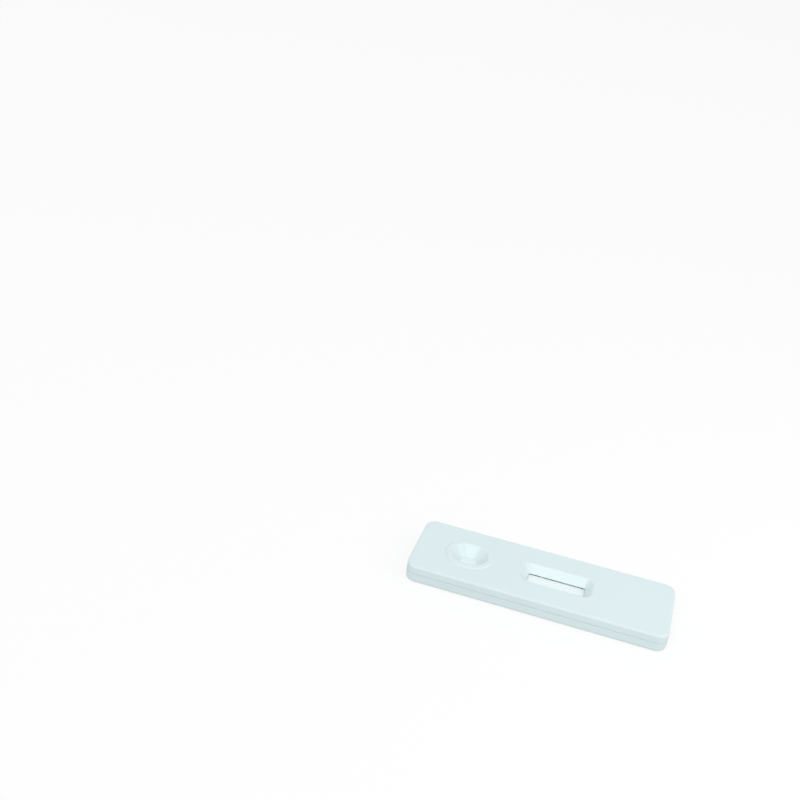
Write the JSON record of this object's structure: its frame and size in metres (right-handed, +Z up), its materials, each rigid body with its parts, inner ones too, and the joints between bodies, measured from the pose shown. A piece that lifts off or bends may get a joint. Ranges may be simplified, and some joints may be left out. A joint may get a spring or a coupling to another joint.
{
  "type": "lateral flow test cassette",
  "caption": "Flat rounded plastic test cassette with an oval rimmed sample well and a sloped reading window over a layered test strip.",
  "frame": {"origin": "middle of the flat underside", "axes": "+X along the case towards the reading window's end, +Y across it, +Z up out of the top face"},
  "size_m": [0.07, 0.023, 0.0056],
  "materials": {
    "housing": "fine satin moulded polystyrene",
    "backing": "plain white card stock plastic",
    "membrane": "smooth matt nitrocellulose",
    "sample_pad": "matt cellulose fibre",
    "conjugate_pad": "glass fibre fleece",
    "absorbent_pad": "thick blotting paper"
  },
  "bodies": {
    "root": {"bottom_housing": "housing", "top_housing": "housing", "backing_card": "backing", "membrane": "membrane", "sample_pad": "sample_pad", "conjugate_pad": "conjugate_pad", "absorbent_pad": "absorbent_pad"}
  },
  "joints": []
}
